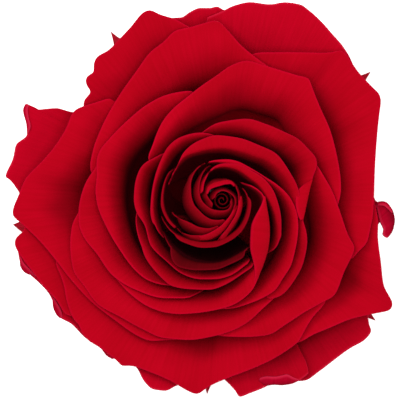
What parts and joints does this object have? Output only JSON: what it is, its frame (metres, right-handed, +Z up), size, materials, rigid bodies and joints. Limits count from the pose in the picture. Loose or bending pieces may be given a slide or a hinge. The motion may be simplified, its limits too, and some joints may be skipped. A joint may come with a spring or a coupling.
{
  "type": "preserved rose head",
  "caption": "Open crimson preserved rose head with spiralled velvety petals, sepals, hip and a short flat-cut stem stub, resting face up.",
  "frame": {"origin": "centre of the flat cut under the stem stub, on the surface that the head rests on", "axes": "+Z up along the stem, out of the bloom's face; +Y towards the top of the picture, +X to its right"},
  "size_m": [0.0711, 0.0721, 0.0435],
  "materials": {
    "petals": "matte",
    "heart_petals": "matte",
    "guard_petals": "matte",
    "sepals": "matte",
    "hip": "matte",
    "stem": "matte"
  },
  "bodies": {
    "root": {"guard_petal_left": "guard_petals", "guard_petal_top": "guard_petals", "guard_petal_top_right": "guard_petals", "guard_petal_right": "guard_petals", "guard_petal_lower_right": "guard_petals", "guard_petal_bottom": "guard_petals", "guard_petal_bottom_left": "guard_petals", "guard_petal_lower_left": "guard_petals", "outer_petal_left": "petals", "outer_petal_upper_left": "petals", "outer_petal_right": "petals", "outer_petal_lower_right": "petals", "outer_petal_bottom": "petals", "outer_petal_lower_left": "petals", "broad_petal_top": "petals", "broad_petal_lower_left": "petals", "broad_petal_right": "petals", "cup_petal_upper_left": "petals", "cup_petal_left": "petals", "cup_petal_right": "petals", "cup_petal_bottom": "petals", "middle_petal_right": "heart_petals", "middle_petal_upper_left": "heart_petals", "middle_petal_top": "heart_petals", "middle_petal_left": "heart_petals", "middle_petal_lower_left": "heart_petals", "heart_petal_right": "heart_petals", "heart_petal_top": "heart_petals", "heart_petal_bottom": "heart_petals", "bud_petal_1": "heart_petals", "bud_petal_2": "heart_petals", "bud_petal_3": "heart_petals", "bud_petal_4": "heart_petals", "bud_petal_5": "heart_petals", "bud_petal_6": "heart_petals", "bud_petal_7": "heart_petals", "bud_petal_8": "heart_petals", "sepal_top": "sepals", "sepal_right": "sepals", "sepal_lower_right": "sepals", "sepal_bottom": "sepals", "sepal_left": "sepals", "hip": "hip", "stem_stub": "stem"}
  },
  "joints": []
}
